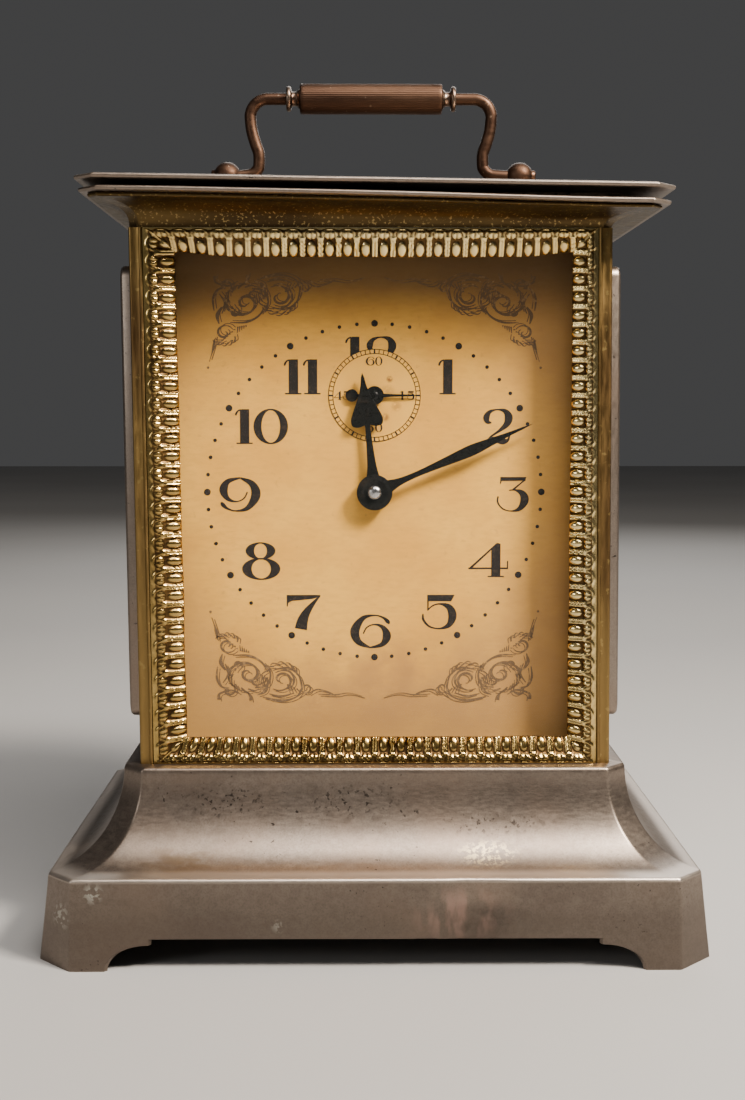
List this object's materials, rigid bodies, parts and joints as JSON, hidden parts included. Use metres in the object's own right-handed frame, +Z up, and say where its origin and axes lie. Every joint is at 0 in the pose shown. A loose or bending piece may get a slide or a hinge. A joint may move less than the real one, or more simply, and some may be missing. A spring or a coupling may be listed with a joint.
{
  "type": "carriage clock",
  "caption": "Small spring-driven clock in a sheet-metal case with a stepped base, embossed square bezel, paper dial, seconds dial and a folding carrying handle.",
  "frame": {"origin": "centre of the footprint, on the surface that the feet stand on", "axes": "+Z up, the dial faces -Y, +X to the right of someone facing the dial"},
  "size_m": [0.16, 0.1174, 0.2145],
  "materials": {
    "nickel": "warm grey nickel plate, lightly tarnished, fine horizontal streaks",
    "case_brass": "brass strip, dulled to golden brown",
    "bezel_brass": "stamped brass, bright on the raised beads",
    "glass": "clear flat window glass",
    "dial_paper": "aged buff paper, matt, with brown stains",
    "black_hands": "black japanned steel",
    "handle_bronze": "brown bronzed brass, worn on its edges",
    "movement_brass": "lacquered brass",
    "steel": "bright steel",
    "blued_steel": "blued spring steel",
    "tinplate": "dull tin plate"
  },
  "bodies": {
    "case": {"base_shell": "nickel", "case_floor": "tinplate", "base_screws": "steel", "corner_post_front_left": "case_brass", "corner_post_front_right": "case_brass", "corner_post_rear_left": "case_brass", "corner_post_rear_right": "case_brass", "side_panel_left": "nickel", "side_panel_right": "nickel", "rear_frame": "nickel", "bezel": "bezel_brass", "front_glass": "glass", "glass_clips": "tinplate", "dial_plate": "tinplate", "dial_paper": "dial_paper", "cornice": "case_brass", "cornice_plate": "nickel", "top_plate": "nickel", "handle_posts": "handle_bronze", "handle_nuts": "steel", "case_hinge_leaf": "case_brass", "hinge_pin": "steel", "mounting_frame": "tinplate", "movement_screws": "steel", "front_plate": "movement_brass", "back_plate": "movement_brass", "plate_pillars": "movement_brass", "pillar_nuts": "steel", "minute_wheel_stud": "steel", "mainspring": "blued_steel", "balance_screws": "steel", "hairspring": "blued_steel", "hairspring_stud": "steel"},
    "handle": {"handle_arm_left": "handle_bronze", "handle_arm_right": "handle_bronze", "handle_ferrules": "handle_bronze", "handle_grip": "handle_bronze"},
    "door": {"rear_door": "nickel", "door_hinge_leaf": "case_brass", "door_knob": "case_brass"},
    "centre_arbor": {"centre_wheel": "movement_brass", "cannon_pinion": "steel", "minute_hand": "black_hands", "set_knob": "movement_brass"},
    "hour_wheel": {"hour_wheel": "movement_brass", "hour_hand": "black_hands"},
    "minute_wheel": {"minute_wheel": "movement_brass"},
    "great_wheel": {"great_wheel": "movement_brass", "click_spring": "blued_steel"},
    "winding_arbor": {"winding_arbor": "steel", "ratchet_wheel": "movement_brass", "winding_key": "movement_brass"},
    "click": {"click": "steel"},
    "third_wheel": {"third_wheel": "movement_brass"},
    "seconds_arbor": {"seconds_wheel": "movement_brass", "seconds_hand": "black_hands"},
    "escape_wheel": {"escape_wheel": "movement_brass"},
    "pallet_lever": {"pallet_lever": "steel"},
    "balance": {"balance_wheel": "movement_brass"},
    "regulator": {"regulator": "steel"}
  },
  "joints": [
    {"name": "handle_swing", "type": "hinge", "parent": "case", "child": "handle", "pos_m": [0, 0, 0.1907], "axis": [1, 0, 0], "range_deg": [-98, 98]},
    {"name": "door_hinge", "type": "hinge", "parent": "case", "child": "door", "pos_m": [0.0536, 0.0374, 0.1099], "axis": [0, 0, -1], "range_deg": [0, 110]},
    {"name": "centre_turn", "type": "hinge", "parent": "case", "child": "centre_arbor", "pos_m": [0, -0.005, 0.1099], "axis": [0, 1, 0], "continuous": true},
    {"name": "hour_turn", "type": "hinge", "parent": "case", "child": "hour_wheel", "pos_m": [0, -0.005, 0.1099], "axis": [0, 1, 0], "continuous": true},
    {"name": "minute_wheel_turn", "type": "hinge", "parent": "case", "child": "minute_wheel", "pos_m": [0.00514, -0.005, 0.10377], "axis": [0, 1, 0], "continuous": true},
    {"name": "great_wheel_turn", "type": "hinge", "parent": "case", "child": "great_wheel", "pos_m": [0, -0.005, 0.0805], "axis": [0, 1, 0], "continuous": true},
    {"name": "winding_turn", "type": "hinge", "parent": "great_wheel", "child": "winding_arbor", "pos_m": [0, -0.005, 0.0805], "axis": [0, 1, 0], "continuous": true, "deforming": ["mainspring"]},
    {"name": "click_lift", "type": "hinge", "parent": "great_wheel", "child": "click", "pos_m": [0.01005, -0.005, 0.0863], "axis": [0, 1, 0], "range_deg": [0, 8], "deforming": ["click_spring"]},
    {"name": "third_turn", "type": "hinge", "parent": "case", "child": "third_wheel", "pos_m": [0.00949, -0.005, 0.12303], "axis": [0, 1, 0], "continuous": true},
    {"name": "seconds_turn", "type": "hinge", "parent": "case", "child": "seconds_arbor", "pos_m": [0, -0.005, 0.1337], "axis": [0, 1, 0], "continuous": true},
    {"name": "escape_turn", "type": "hinge", "parent": "case", "child": "escape_wheel", "pos_m": [-0.011, -0.005, 0.13819], "axis": [0, 1, 0], "continuous": true},
    {"name": "lever_rock", "type": "hinge", "parent": "case", "child": "pallet_lever", "pos_m": [-0.00644, -0.005, 0.14402], "axis": [0, 1, 0], "range_deg": [-6, 6]},
    {"name": "balance_swing", "type": "hinge", "parent": "case", "child": "balance", "pos_m": [0.00107, -0.005, 0.15363], "axis": [0, 1, 0], "range_deg": [-200, 200], "deforming": ["hairspring"]},
    {"name": "regulator_turn", "type": "hinge", "parent": "case", "child": "regulator", "pos_m": [0.00107, -0.005, 0.15363], "axis": [0, 1, 0], "range_deg": [-18, 18]}
  ],
  "couplings": [
    {"joint": "hour_turn", "follows": "centre_turn", "ratio": 0.083333},
    {"joint": "minute_wheel_turn", "follows": "centre_turn", "ratio": -0.33333},
    {"joint": "great_wheel_turn", "follows": "centre_turn", "ratio": -0.16667},
    {"joint": "third_turn", "follows": "centre_turn", "ratio": -8},
    {"joint": "seconds_turn", "follows": "centre_turn", "ratio": 60},
    {"joint": "escape_turn", "follows": "centre_turn", "ratio": -600}
  ]
}
